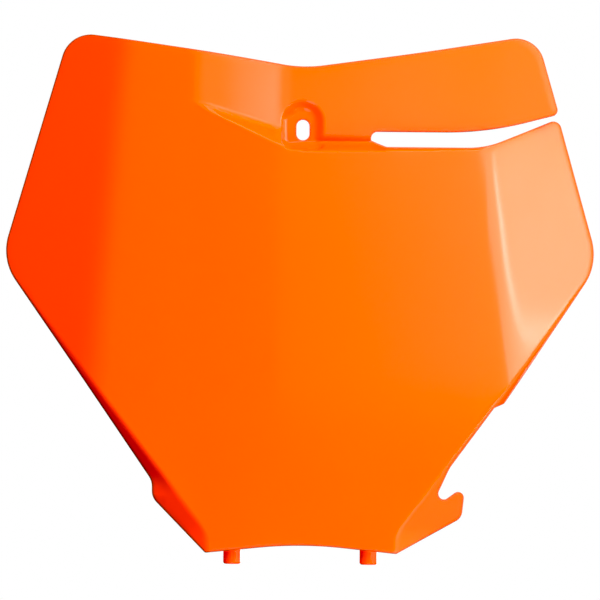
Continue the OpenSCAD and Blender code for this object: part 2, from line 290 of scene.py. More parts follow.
@dataclass
class SheetForm:
    """Formula of the moulded sheet: how deep its front and its back lie behind each point of the plan."""

    outline: Outline
    wall: float = 2.4
    crown_r: float = 1150.0
    wing_angle: float = 31.0
    crease_x: float = 91.3
    crease_flare: float = 0.094
    bend_top: float = 8.5
    bend_foot: float = 11.0
    lip_start_z: float = -84.0
    lip_merge: float = 4.0
    lip_angle: float = 62.0
    flare_angle: float = 42.0
    fold_in: float = 0.3
    fold_up: float = 9.6
    fold_half: float = 2.5
    fold_blend: float = 6.0
    fold_past: float = 7.0
    steep_h: float = 14.0
    steep_rise: float = 5.0
    shoulder_h: float = 12.0
    recess_d: float = 10.0
    slope_w: float = 43.0
    slope_x: float = 9.5
    slope_bow: float = 0.2
    slope_end_blend: float = 0.9
    flap_angle: float = 2.5
    flap_gap_l: float = 12.0
    recess_z: float = -9.9
    recess_turn_x: float = -5.0
    recess_edge_angle: float = 24.2
    recess_blend: float = 2.6
    recess_rim_blend: float = 1.1
    slope_wall_angle: float = 57.0
    step_wall_angle: float = 72.0
    edge_round: float = 42.0
    edge_steps: int = 12
    fade_l: float = 43.0
    pocket_r: float = 10.9
    pocket_rise: float = 4.0
    pocket_d: float = 3.5
    pocket_foot: float = 0.5
    pocket_corner_r: float = 5.0
    pocket_blend: float = 1.4
    pocket_floor_blend: float = 0.8
    pocket_rim_blend: float = 0.7
    pocket_skew: float = 1.2
    pocket_draft: float = 2.3
    pocket_soft_draft: float = 4.6
    channel_d: float = 3.0
    channel_w: float = 3.5
    channel_past: float = 6.0
    channel_lean: float = 3.4
    channel_blend: float = 1.6
    edge_r: float = 0.55
    roll_w: float = 3.6
    roll_d: float = 0.26
    small_blend: float = 0.6
    wall_blend: float = 0.5
    solve_from: float = -8.0
    solve_to: float = 75.0
    solve_steps: int = 34

    @property
    def seat_depth(self) -> float:
        """Depth of the rear seat behind the middle of the front face."""
        return self.recess_d + self.pocket_d + self.wall

    @property
    def fold_low(self) -> tuple[float, float]:
        """Lower end of the line at which the lips fold, as x and z."""
        return self.outline.foot_x - self.fold_in, self.outline.foot_z + self.fold_up

    @property
    def fold_slope(self) -> float:
        """How far the fold line moves outward for each millimetre up."""
        x, z = self.fold_low
        return (self.outline.edge_x(self.lip_start_z) - x) / (self.lip_start_z - z)

    def fold_x(self, z: Array) -> Array:
        """Distance of the fold line from the centre line.

        Args:
            z: Height.

        Returns:
            The distance.
        """
        x, low = self.fold_low
        widest = self.outline.wing_x + self.fold_past
        return np.minimum(widest, x + soft_ramp(z - low, self.fold_blend) * self.fold_slope)

    def lip_slope(self, x: Array, z: Array) -> Array:
        """Slope of the lips: flared at the foot, steep above the jog on the left and the hook on the right.

        Args:
            x: Plan position across.
            z: Plan position up.

        Returns:
            Depth gained for each millimetre across.
        """
        plan = self.outline
        left = smooth_step((z - plan.jog_low_z) / (plan.jog_z + self.steep_rise - plan.jog_low_z))
        right = smooth_step((z - plan.hook_z) / self.steep_h)
        steep = np.where(x < 0, left, right)
        flare, full = math.tan(math.radians(self.flare_angle)), math.tan(math.radians(self.lip_angle))
        return math.cos(math.atan(self.fold_slope)) * (flare + (full - flare) * steep)

    def face(self, x: Array, z: Array) -> Array:
        """Depth of the crowned face and its swept wings.

        The crown is x squared over twice its radius as far as the crease and straight beyond it, and the
        wing adds a ramp at the sweep angle, with a soft bend along the crease.

        Args:
            x: Plan position across.
            z: Plan position up.

        Returns:
            Depth behind the middle of the face.
        """
        u = np.abs(x)
        crease = self.crease_x - z * self.crease_flare
        crown = np.where(u < crease, u * u, crease * (2.0 * u - crease)) / (2.0 * self.crown_r)
        share = (z - self.outline.foot_z) / (self.outline.top_z - self.outline.foot_z)
        half = self.bend_foot + (self.bend_top - self.bend_foot) * np.clip(share, 0.0, 1.0)
        return crown + math.tan(math.radians(self.wing_angle)) * soft_ramp(u - crease, half)

    def sheet(self, x: Array, z: Array) -> Array:
        """Depth of the face with its lips: the lips add a steeper ramp outside the fold line."""
        past = soft_ramp(np.abs(x) - self.fold_x(z), self.fold_half)
        return self.face(x, z) + self.lip_slope(x, z) * past

    def lip_rear(self, x: Array, z: Array) -> Array:
        """Depth of the rear ends of the lips: level with the face, one wall behind the outline's edge.

        Args:
            x: Plan position across.
            z: Plan position up.

        Returns:
            The depth, or a far one where there is no lip.
        """
        plan = self.outline
        left_z = [plan.foot_z, plan.jog_low_z, plan.jog_z, plan.wing_z]
        left_x = [plan.foot_x, plan.jog_x, plan.jog_x, plan.wing_x]
        shoulder = plan.hook_z + self.shoulder_h
        right_z = [plan.foot_z, plan.hook_z - plan.hook_h, plan.hook_z + 2.0, shoulder, plan.wing_z]
        right_x = [plan.foot_x, plan.hook_x, plan.hook_x, plan.edge_x(shoulder), plan.wing_x]
        edge = np.where(x < 0, np.interp(z, left_z, left_x), np.interp(z, right_z, right_x))
        slope = self.lip_slope(x, z)
        reach = slope * (edge - self.fold_x(z)) + self.wall
        least = np.maximum(2.0 * self.wall, slope * (1.0 + self.fold_half))
        end = self.face(x, z) + np.maximum(least, reach)
        return np.where(np.abs(x) > self.fold_x(z) - self.lip_merge, end, FAR)

    def tray(self, x: Array, d: Array, z: Array) -> Array:
        """Signed distance to the recess, negative inside.

        The greatest distance to its floors and walls, rounded where they meet. The slope is a shallow
        parabola, so that it steepens towards the bolt.

        Args:
            x: Plan position across.
            d: Depth.
            z: Plan position up.

        Returns:
            The distance.
        """
        crown = (self.slope_x + self.slope_w) ** 2 / (2.0 * self.crown_r)
        fall = self.recess_d - crown
        slope, flap = math.atan(fall / self.slope_w), math.radians(self.flap_angle)
        t = np.clip((x + self.slope_x) / self.slope_w + 1.0, -0.5, 1.5)
        ramp = (d - crown - fall * (t + self.slope_bow * (t * t - t))) * math.cos(slope)
        level = (x + self.slope_x) * -math.sin(flap) + (d - self.recess_d) * math.cos(flap)
        floor = smooth_max(ramp, level, self.slope_end_blend)
        edge_angle = math.radians(self.recess_edge_angle)
        centre_x = self.recess_turn_x + self.edge_round * math.tan(edge_angle / 2.0)
        centre_z = self.recess_z + self.edge_round
        edge = np.full(np.broadcast(x, d, z).shape, -FAR)
        steeper = self.step_wall_angle - self.slope_wall_angle
        for i in range(self.edge_steps + 1):
            share = i / self.edge_steps
            a = edge_angle * (1.0 - share)
            w = math.radians(self.slope_wall_angle + steeper * share)
            away = (centre_x - x) * math.sin(a) + (centre_z - z) * math.cos(a) - self.edge_round
            edge = np.maximum(edge, away * math.sin(w) + d * math.cos(w))
        plan = self.outline
        fade_x = plan.mouth_x - self.fade_l
        rise = math.atan((plan.slit_rise - plan.slit_mouth / 2.0 - self.recess_z) / self.fade_l)
        fade = (x - fade_x) * math.sin(rise) - (z - self.recess_z) * math.cos(rise)
        return smooth_max(smooth_max(floor, edge, self.recess_blend), fade, self.small_blend)

    def pocket(self, x: Array, d: Array, z: Array) -> Array:
        """Signed distance to the bolt pocket: an arch in plan that tapers from the recess to its floor.

        The taper is a slope into the floor, and it grows from the left side over the top to the right.

        Args:
            x: Plan position across.
            d: Depth.
            z: Plan position up.

        Returns:
            The distance.
        """
        low = self.recess_z + self.pocket_foot
        arch = np.hypot(x, z - self.pocket_rise) - self.pocket_r
        straight = round_max(np.abs(x) - self.pocket_r, low - z, self.pocket_corner_r)
        plan = np.where(z > self.pocket_rise, arch, straight)
        away = np.maximum(np.hypot(x, z - self.pocket_rise), 0.1)
        side = (x + self.pocket_skew * np.maximum(z - self.pocket_rise, 0.0)) / away
        softer = self.pocket_soft_draft - self.pocket_draft
        draft = self.pocket_draft + softer * smooth_step((side + 1.0) / 1.4)
        taper = np.arctan(draft / self.pocket_d)
        wall = plan * np.cos(taper) + (d - self.recess_d) * np.sin(taper)
        floor = d - self.recess_d - self.pocket_d
        return smooth_max(smooth_max(plan, wall, self.pocket_blend), floor, self.pocket_floor_blend)

    def channel(self, x: Array, d: Array, z: Array) -> Array:
        """Signed distance to the channel along the foot of the step, from the pocket to the slit.

        Args:
            x: Plan position across.
            d: Depth.
            z: Plan position up.

        Returns:
            The distance.
        """
        wall = math.radians(self.step_wall_angle)
        floor = self.recess_d + self.channel_d
        low = self.recess_z + floor / math.tan(wall)
        below = (self.recess_z - z) * math.sin(wall) + d * math.cos(wall)
        lean = math.atan2(self.channel_lean, self.channel_d)
        above = (z - (low + self.channel_w)) * math.cos(lean) + (d - self.recess_d) * math.sin(lean)
        ends = np.maximum(-x, x - self.outline.slit_x - self.channel_past)
        walls = smooth_max(below, above, self.wall_blend)
        return smooth_max(smooth_max(walls, d - floor, self.pocket_floor_blend), ends, self.wall_blend)

    def on_flap(self, x: Array, z: Array) -> Array:
        """Tells which points are on the flap above the slit, where only the recess floor bounds the front.

        Args:
            x: Plan position across.
            z: Plan position up.

        Returns:
            True above the middle line of the slit.
        """
        plan = self.outline
        middle = (plan.slit_top_z + plan.slit_low_z) / 2.0
        rise = (plan.slit_rise - plan.slit_mouth / 2.0 - middle) / plan.slit_flare_l
        past = np.maximum(x - plan.mouth_x + plan.slit_flare_l, 0.0)
        return (x > plan.slit_x + self.flap_gap_l) & (z > middle + past * rise)

    def body(self, x: Array, d: Array, z: Array, lean: Array, flap: Array) -> Array:
        """Signed distance to everything behind the front surface, negative inside.

        The face's distance is how far it lies behind the point times the cosine of its lean. What the
        recess, the pocket and the channel take out is the least of their distances, and the body is the
        greater of the face's distance and the opposite of theirs.

        Args:
            x: Plan position across.
            d: Depth.
            z: Plan position up.
            lean: Cosine of the face's lean.
            flap: True where the point is on the flap.

        Returns:
            The distance.
        """
        hollow = smooth_min(self.tray(x, d, z), self.pocket(x, d, z), self.pocket_rim_blend)
        hollow = smooth_min(hollow, self.channel(x, d, z), self.channel_blend)
        front = (self.sheet(x, z) - d) * lean
        return np.where(flap, -hollow, smooth_max(front, -hollow, self.recess_rim_blend))

    def lean(self, x: Array, z: Array) -> Array:
        """Cosine of the angle between the sheet's normal and the line of sight.

        Args:
            x: Plan position across.
            z: Plan position up.

        Returns:
            The cosine, 1 where the sheet faces the viewer.
        """
        h = 0.05
        along = (self.sheet(x + h, z) - self.sheet(x - h, z)) / (2.0 * h)
        up = (self.sheet(x, z + h) - self.sheet(x, z - h)) / (2.0 * h)
        return 1.0 / np.sqrt(1.0 + along * along + up * up)

    def solve(
        self, x: Array, z: Array, inset: Array, outward: Array, margin: Array, rear: bool
    ) -> tuple[Array, Array]:
        """Finds where a line of sight meets the front or the back, by halving the depth range.

        The back is where the body's distance is one wall below zero, or where the lips end. Both are
        joined to the outline's distance with a quarter circle, which rounds the rim. Near the outline both
        fall back by the square of how far the point lies inside the rolled band.

        Args:
            x: Plan position across.
            z: Plan position up.
            inset: Distance inside the outline.
            outward: Unit vectors out of the outline, as x and z.
            margin: Distance to the outline alone, and the unit vectors away from it, as x and z.
            rear: Whether the back is wanted.

        Returns:
            Depths, and unit normals that point out of the plastic, as x, depth and z.
        """
        lean, flap = self.lean(x, z), self.on_flap(x, z)
        end = self.lip_rear(x, z)

        def skin(px: Array, pd: Array, pz: Array) -> Array:
            """Distance to one face of the sheet, without the rim.

            Args:
                px: Plan position across.
                pd: Depth.
                pz: Plan position up.

            Returns:
                The distance.
            """
            front = self.body(px, pd, pz, lean, flap)
            if not rear:
                return front
            past_end = np.where(flap, -FAR, (pd - end) * lean)
            return smooth_max(-self.wall - front, past_end, self.small_blend)

        low, high = np.full_like(x, self.solve_from), np.full_like(x, self.solve_to)
        for _ in range(self.solve_steps):
            middle = (low + high) / 2.0
            outside = round_max(skin(x, middle, z), -inset, self.edge_r) > 0.0
            further = outside if not rear else ~outside
            low, high = np.where(further, middle, low), np.where(further, high, middle)
        d, h = (low + high) / 2.0, 0.02
        slope = np.stack(
            [
                skin(x + h, d, z) - skin(x - h, d, z),
                skin(x, d + h, z) - skin(x, d - h, z),
                skin(x, d, z + h) - skin(x, d, z - h),
            ],
            axis=1,
        )
        share = np.maximum(1.0 - margin[:, 0] / self.roll_w, 0.0)
        slope[:, ::2] += slope[:, 1:2] * (2.0 * self.roll_d / self.roll_w) * share[:, None] * margin[:, 1:]
        slope /= np.linalg.norm(slope, axis=1)[:, None]
        keep = np.maximum(self.edge_r + skin(x, d, z), 1e-6)[:, None]
        turn = np.maximum(self.edge_r - inset, 0.0)[:, None]
        normal = slope * keep + np.stack([outward[:, 0], np.zeros_like(x), outward[:, 1]], axis=1) * turn
        return d + self.roll_d * share**2, normal / np.linalg.norm(normal, axis=1)[:, None]


# Mesh of the sheet


@dataclass
class Plate:
    """The moulded sheet with its recess, slit, lips and hook, as one closed mesh."""

    form: SheetForm
    name: str = "moulded_plate"
    coarse: float = 1.8
    rings: int = 4
    apron: float = 1.2
    slope_edge_l: float = 56.0
    step_edge_x: float = 94.0
    inner_inset: float = 10.0
    # Width and back-side strength of the painted shade: a dark band along the rim.
    rim_shade_w: float = 1.5
    rim_shade_rear: float = 0.3

    def strips(self) -> Array:
        """Lays rows of plan points along the features that bend most.

        Returns:
            The points, as x and z.
        """
        form = self.form
        plan = form.outline
        rows = []

        def along(start: Array, end: Array, gap: float, offsets: Array) -> None:
            """Adds rows of points beside a straight line.

            Args:
                start: Start of the line, as x and z.
                end: End of the line, as x and z.
                gap: Distance between the points of a row.
                offsets: Distances of the rows to the left of the line.
            """
            run = end - start
            length = float(np.linalg.norm(run))
            t = np.linspace(0.0, 1.0, max(2, round(length / gap)))
            side = np.array([-run[1], run[0]]) / length
            rows.append((start + t[:, None, None] * run + offsets[None, :, None] * side).reshape(-1, 2))

        lip = np.array([-2.2, -1.4, -0.9, -0.5, -0.2, 0.1, 0.4, 0.8])
        wall = np.array([1.3, 1.9, 2.5, 3.1, 3.8, 4.6, 5.4, 6.3, 7.2, 8.1, 9.2])
        across = np.concatenate([lip, wall])
        angle = math.radians(form.recess_edge_angle)
        turn = form.edge_round * math.tan(angle / 2.0)
        bend = np.array([form.recess_turn_x, form.recess_z])
        left = np.array([-math.cos(angle), math.sin(angle)])
        along(bend + left * self.slope_edge_l, bend + left * turn, 1.1, across)
        sweep = np.linspace(-math.pi / 2.0 - angle, -math.pi / 2.0, 18)[:, None]
        radius = (form.edge_round - across)[None, :]
        centre = bend + np.array([turn, form.edge_round])
        curve = np.stack([radius * np.cos(sweep), radius * np.sin(sweep)], axis=2)
        rows.append((centre + curve).reshape(-1, 2))
        step_start = np.array([bend[0] + turn, form.recess_z])
        slit_start = np.array([plan.slit_x + 2.0, form.recess_z])
        slit_end = np.array([self.step_edge_x, form.recess_z])
        along(step_start, slit_start, 0.9, np.arange(-2.2, 9.0, 0.42))
        along(slit_start + np.array([0.5, 0.0]), slit_end, 1.2, lip)
        beside = np.array([-3.4, -2.7, -2.1, -1.6, -1.1, -0.7, -0.4, -0.1, 0.2, 0.5, 0.9, 1.4, 2.0, 2.7, 3.5])
        arch = np.linspace(0.0, math.pi, 58)[:, None]
        radius = (form.pocket_r + beside)[None, :]
        curve = np.stack([radius * np.cos(arch), form.pocket_rise + radius * np.sin(arch)], axis=2)
        rows.append(curve.reshape(-1, 2))
        low = form.recess_z + 0.7
        for side in Side:
            edge = side.value * form.pocket_r
            along(np.array([edge, low]), np.array([edge, form.pocket_rise - 0.6]), 0.7, beside)
        x, z = form.fold_low
        high = (x + (form.lip_start_z - z) * form.fold_slope, form.lip_start_z)
        folds = np.arange(-3.6, 5.0, 0.8)
        for side in Side:
            foot, top = np.array([side.value * x, z - 2.0]), np.array([side.value * high[0], high[1]])
            along(foot, top, 1.7, folds)
        return np.concatenate(rows)

    def plan(self) -> tuple[Array, Array, Array, Array, list[Array]]:
        """Lays out the plan of the mesh.

        Rings follow the outline and the slot at insets of the rim's radius times (1 minus the cosine) of even
        angles, so that they sample the rounded rim evenly. The rest is filled with rows along the features
        and an even grid, joined into triangles.

        Returns:
            Points, insets, outward vectors, triangles, and the indices of the two rim loops.
        """
        form = self.form
        phi = np.linspace(0.0, math.pi / 2.0, self.rings + 1)
        insets = np.append(form.edge_r * (1.0 - np.cos(phi)), self.apron)
        points, depth, outward, edges, rims, inner = [], [], [], [], [], []
        total = 0
        for loop, inward in (form.outline.loop(), form.outline.slot()):
            n = len(loop)
            for k, inset in enumerate(insets):
                index = total + np.arange(n)
                points.append(loop + inward * inset)
                depth.append(np.full(n, inset))
                outward.append(-inward)
                edges.append(np.stack([index, np.roll(index, -1)], axis=1))
                if k == 0:
                    rims.append(index)
                total += n
            inner.append(loop + inward * self.apron)
        fill = self.fill(inner)
        points.append(fill)
        depth.append(np.full(len(fill), self.inner_inset))
        outward.append(np.zeros((len(fill), 2)))
        flat, depth_all, out_all = np.concatenate(points), np.concatenate(depth), np.concatenate(outward)
        fixed = np.concatenate(edges).tolist()
        found = delaunay_2d_cdt([Vector(p) for p in flat.tolist()], fixed, [], 0, 1e-6)
        triangles = np.array([list(face) for face in found[2]])
        origin = np.array([ids[0] if ids else -1 for ids in found[3]])
        if (origin < 0).any():
            raise ValueError("the plan's rings cross each other")
        triangles = origin[triangles]
        middle = flat[triangles].mean(axis=1)
        inside = self.inside(middle, form.outline.loop()[0]) & ~self.inside(middle, form.outline.slot()[0])
        return flat, depth_all, out_all, triangles[inside], rims

    @staticmethod
    def inside(points: Array, loop: Array) -> Array:
        """Tests which points lie inside a closed loop, by how often a line to the right crosses it.

        Args:
            points: Points, as x and z.
            loop: Corners of the loop, as x and z.

        Returns:
            True for each point inside.
        """
        a, b = loop, np.roll(loop, -1, axis=0)
        inside = np.zeros(len(points), bool)
        for part in np.array_split(np.arange(len(points)), max(1, len(points) // 4000)):
            px, pz = points[part, 0][:, None], points[part, 1][:, None]
            spans = (a[:, 1] > pz) != (b[:, 1] > pz)
            rise = np.where(a[:, 1] == b[:, 1], 1.0, b[:, 1] - a[:, 1])
            crosses = px < a[:, 0] + (pz - a[:, 1]) / rise * (b[:, 0] - a[:, 0])
            inside[part] = (spans & crosses).sum(axis=1) % 2 == 1
        return inside

    @staticmethod
    def distance(points: Array, others: Array) -> Array:
        """Distance from each point to the nearest of the others.

        Args:
            points: Points, as x and z.
            others: The other points, as x and z.

        Returns:
            The distances.
        """
        nearest = np.empty(len(points))
        for part in np.array_split(np.arange(len(points)), max(1, len(points) // 2000)):
            gap = points[part][:, None, :] - others[None, :, :]
            nearest[part] = np.sqrt((gap**2).sum(axis=2).min(axis=1))
        return nearest

    @classmethod
    def margin(cls, points: Array, loop: Array, reach: float) -> Array:
        """Distance from each point to a closed loop's lines, with the unit vector away from them.

        Only points within reach of the loop are worked out, and the others get twice the reach.

        Args:
            points: Points, as x and z.
            loop: Corners of the loop, as x and z.
            reach: Greatest distance that is worked out.

        Returns:
            Rows of the distance and the vector's x and z.
        """
        run = np.roll(loop, -1, axis=0) - loop
        square = (run**2).sum(axis=1)
        out = np.tile([2.0 * reach, 0.0, 0.0], (len(points), 1))
        near = np.flatnonzero(cls.distance(points, loop[::3]) < reach + 5.0)
        for part in np.array_split(near, max(1, len(near) // 2000)):
            to = points[part][:, None, :] - loop[None, :, :]
            t = np.clip((to * run).sum(axis=2) / square, 0.0, 1.0)
            gap = to - t[:, :, None] * run
            length = np.sqrt((gap**2).sum(axis=2))
            row, nearest = np.arange(len(part)), length.argmin(axis=1)
            out[part, 0] = length[row, nearest]
            out[part, 1:] = gap[row, nearest] / np.maximum(length[row, nearest], 1e-6)[:, None]
        return out

    def fill(self, loops: list[Array]) -> Array:
        """Chooses the plan points inside the innermost rings: the rows, and an even grid between them.

        Args:
            loops: Innermost rings of the outline and of the slot.

        Returns:
            The points, as x and z.
        """
        dense = self.strips()
        dense = dense[self.inside(dense, loops[0]) & ~self.inside(dense, loops[1])]
        ring = np.concatenate(loops)
        dense = dense[self.distance(dense, ring) > 0.45]
        cell = np.floor(dense / 0.36).astype(int)
        _, first = np.unique(cell, axis=0, return_index=True)
        dense = dense[np.sort(first)]
        plan = self.form.outline
        x = np.arange(-math.ceil(plan.wing_x), math.ceil(plan.wing_x), self.coarse)
        z = np.arange(math.floor(plan.foot_z) - 1.0, math.ceil(plan.top_z), self.coarse * 0.9)
        grid = np.stack(np.meshgrid(x, z), axis=2)
        grid[1::2, :, 0] += self.coarse / 2.0
        grid = grid.reshape(-1, 2)
        grid = grid[self.inside(grid, loops[0]) & ~self.inside(grid, loops[1])]
        grid = grid[self.distance(grid, ring) > 0.9]
        grid = grid[self.distance(grid, dense) > 1.0]
        return np.concatenate([dense, grid])

    def build(self) -> bpy.types.Object:
        """Builds the closed mesh: the front, the back, and a band round both rims.

        Returns:
            The plate, with painted shade along its rim as the attribute rim.
        """
        form = self.form
        flat, inset, outward, triangles, rims = self.plan()
        x, z = flat[:, 0], flat[:, 1]
        margin = self.margin(flat, form.outline.loop()[0], form.roll_w)
        shells, normals = [], []
        for rear in (False, True):
            depth, normal = form.solve(x, z, inset, outward, margin, rear)
            shells.append(np.stack([x, depth - form.seat_depth, z], axis=1) * METRE)
            normals.append(normal)
        a, b, c = (flat[triangles[:, i]] for i in range(3))
        u, v = b - a, c - a
        area = u[:, 0] * v[:, 1] - u[:, 1] * v[:, 0]
        front = np.where((area > 0)[:, None], triangles, triangles[:, ::-1])
        count = len(flat)
        faces = [front, front[:, ::-1] + count]
        for rim in rims:
            after = np.roll(rim, -1)
            faces.append(np.stack([rim, after, after + count], axis=1))
            faces.append(np.stack([rim, after + count, rim + count], axis=1))
        piece = make_mesh(self.name, np.concatenate(shells), np.concatenate(faces), np.concatenate(normals))
        # Painted shade: the rim attribute darkens the plastic in a band along the rim, weaker on the back.
        rim = smooth_step(1.0 - inset / self.rim_shade_w)
        both = np.concatenate([rim, self.rim_shade_rear * rim]).astype(np.float32)
        piece.data.attributes.new("rim", "FLOAT", "POINT").data.foreach_set("value", both)
        return piece


def make_mesh(name: str, points: Array, faces: Array, normals: Array | None = None) -> bpy.types.Object:
    """Puts arrays into a new smooth mesh object at the origin.

    Args:
        name: Name of the object and its mesh.
        points: Vertices, in metres.
        faces: Vertex indices of the faces, three or four in each row.
        normals: Unit normals of the vertices, or None to leave them to the faces.

    Returns:
        The new object, linked to the scene.
    """
    mesh = bpy.data.meshes.new(name)
    size = faces.shape[1]
    mesh.vertices.add(len(points))
    mesh.vertices.foreach_set("co", np.ascontiguousarray(points, dtype=np.float32).ravel())
    mesh.loops.add(faces.size)
    mesh.loops.foreach_set("vertex_index", faces.astype(np.int32).ravel())
    mesh.polygons.add(len(faces))
    mesh.polygons.foreach_set("loop_start", np.arange(0, faces.size, size, dtype=np.int32))
    mesh.polygons.foreach_set("use_smooth", np.ones(len(faces), bool))
    mesh.update(calc_edges=True)
    mesh.validate()
    if normals is not None:
        mesh.normals_split_custom_set_from_vertices(normals.tolist())
    piece = bpy.data.objects.new(name, mesh)
    bpy.context.collection.objects.link(piece)
    return piece


# Pegs


@dataclass
class Peg:
    """Locating peg with its boss, turned about one upright axis."""

    seat_depth: float
    side: Side
    radius: float = 4.25
    length: float = 8.0
    drop: float = 211.4
    depth: float = 8.2
    span: float = 66.4
    tip_r: float = 1.2
    root_r: float = 0.4
    boss_wall: float = 1.9
    boss_l: float = 22.0
    boss_slope: float = 12.0
    boss_round: float = 0.7
    around: int = 64

    def profile(self) -> Array:
        """Draws the half section of the peg and its boss.

        Returns:
            Rows of radius, height and how much of the height follows the boss's slanted top.
        """
        r, shoulder = self.radius, self.length
        boss = r + self.boss_wall
        tip = np.linspace(0.0, math.pi / 2.0, 7)
        root = np.linspace(0.0, math.pi / 2.0, 5)
        rows = [(0.0, 0.0, 0.0)]
        t, f, edge = self.tip_r, self.root_r, self.boss_round
        low, top = edge / 2.0, shoulder + self.boss_l
        rows += [(r - t + t * math.sin(a), t * (1.0 - math.cos(a)), 0.0) for a in tip]
        rows += [(r + f * (1.0 - math.cos(a)), shoulder - f + f * math.sin(a), 0.0) for a in root]
        rows += [(boss - low + low * math.sin(a), shoulder + low * (1.0 - math.cos(a)), 0.0) for a in root]
        rows += [(boss - edge + edge * math.cos(a), top - edge + edge * math.sin(a), 1.0) for a in root]
        rows += [(boss * share, top, 1.0) for share in (0.6, 0.3, 0.0)]
        return np.array(rows)

    def build(self) -> bpy.types.Object:
        """Turns the profile about its axis; the slanted top drops towards the rear.

        A point is the axis plus the radius times the cosine and sine of the angle round it, and the height
        of the top falls by the slope for each millimetre to the rear.

        Returns:
            The peg with its boss.
        """
        rows = self.profile()
        angle = np.arange(self.around) * 2.0 * math.pi / self.around
        ring = rows[1:-1]
        x = ring[:, 0:1] * np.sin(angle)
        back = ring[:, 0:1] * -np.cos(angle)
        fall = self.boss_slope / (self.depth + self.radius + self.boss_wall)
        z = ring[:, 1:2] - ring[:, 2:3] * (self.depth + back) * fall
        body = np.stack([x, back, z], axis=2).reshape(-1, 3)
        top = rows[-1, 1] - self.depth * fall
        points = np.concatenate([body, [[0.0, 0.0, 0.0], [0.0, 0.0, top]]])
        points += np.array([self.side.value * self.span / 2.0, self.depth - self.seat_depth, -self.drop])
        n, rings = self.around, len(ring)
        i, j = np.meshgrid(np.arange(n), np.arange(rings - 1))
        a, b = j * n + i, j * n + (i + 1) % n
        quads = np.stack([a, b, b + n, a + n], axis=2).reshape(-1, 4)
        here = np.arange(n)
        after = (here + 1) % n
        last = (rings - 1) * n
        low = np.stack([np.full(n, rings * n), after, here], axis=1)
        high = np.stack([here + last, after + last, np.full(n, rings * n + 1)], axis=1)
        faces = np.concatenate([quads[:, [0, 1, 2]], quads[:, [0, 2, 3]], low, high])
        return make_mesh(f"peg_{self.side.name.lower()}", points * METRE, faces)


# Finish


